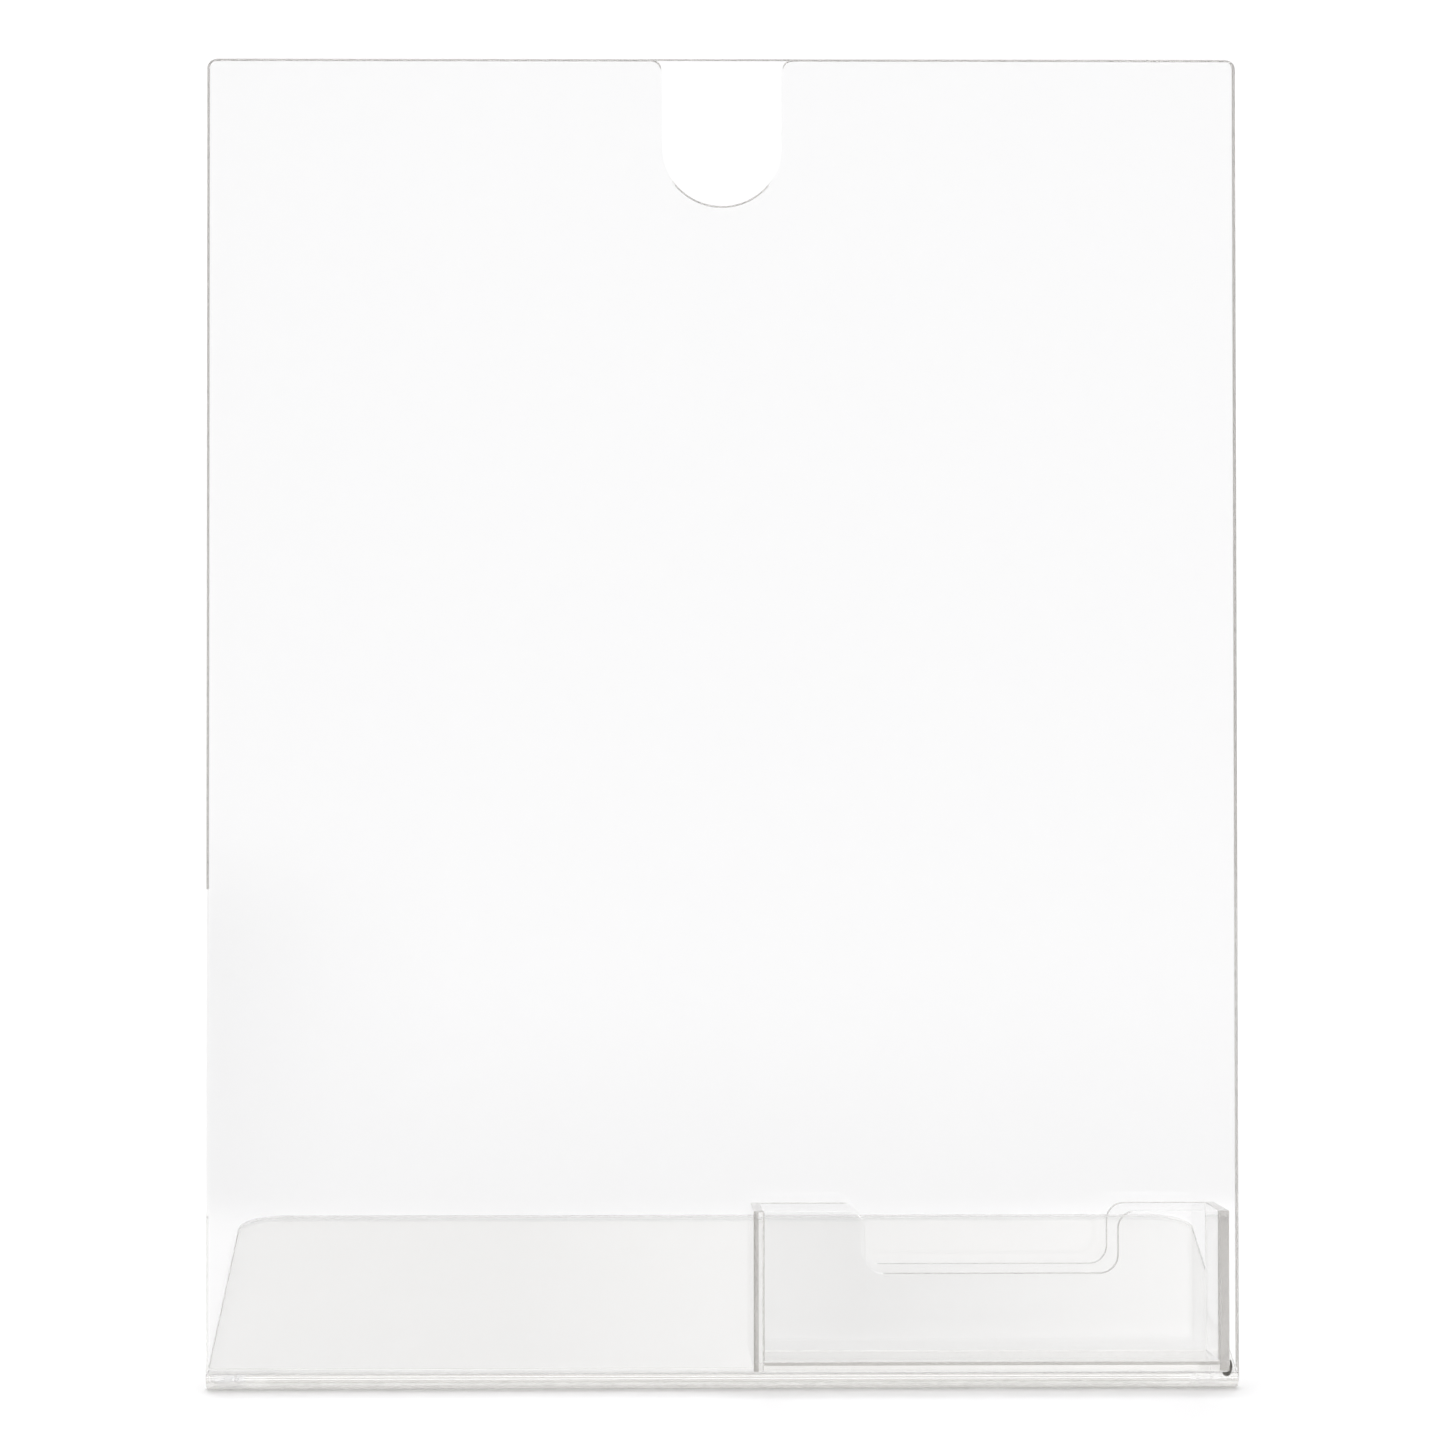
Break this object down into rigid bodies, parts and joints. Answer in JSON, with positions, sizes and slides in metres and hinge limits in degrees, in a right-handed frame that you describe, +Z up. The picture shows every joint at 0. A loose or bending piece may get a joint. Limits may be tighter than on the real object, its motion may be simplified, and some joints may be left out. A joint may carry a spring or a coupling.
{
  "type": "slanted sign holder",
  "caption": "Clear slanted countertop holder for an upright letter-size sheet, with a thumb notch, a flat rear foot and a business card pocket low on its front face.",
  "frame": {"origin": "centre of the foot's flat underside, where the holder rests on a counter", "axes": "+Z up from the counter, +X to the right as seen from the front, +Y towards the back, where the foot points"},
  "size_m": [0.217, 0.1427, 0.2726],
  "materials": {
    "main_sheet": "clear polished acrylic, 3 mm sheet",
    "pocket_sheet": "clear polished acrylic, 2 mm sheet with sawn edges"
  },
  "bodies": {
    "root": {"bent_front_sheet": "main_sheet", "back_panel": "main_sheet", "pocket_floor": "pocket_sheet", "pocket_left_wall": "pocket_sheet", "pocket_right_wall": "pocket_sheet", "pocket_back_wall": "pocket_sheet", "pocket_front_wall": "pocket_sheet"}
  },
  "joints": []
}
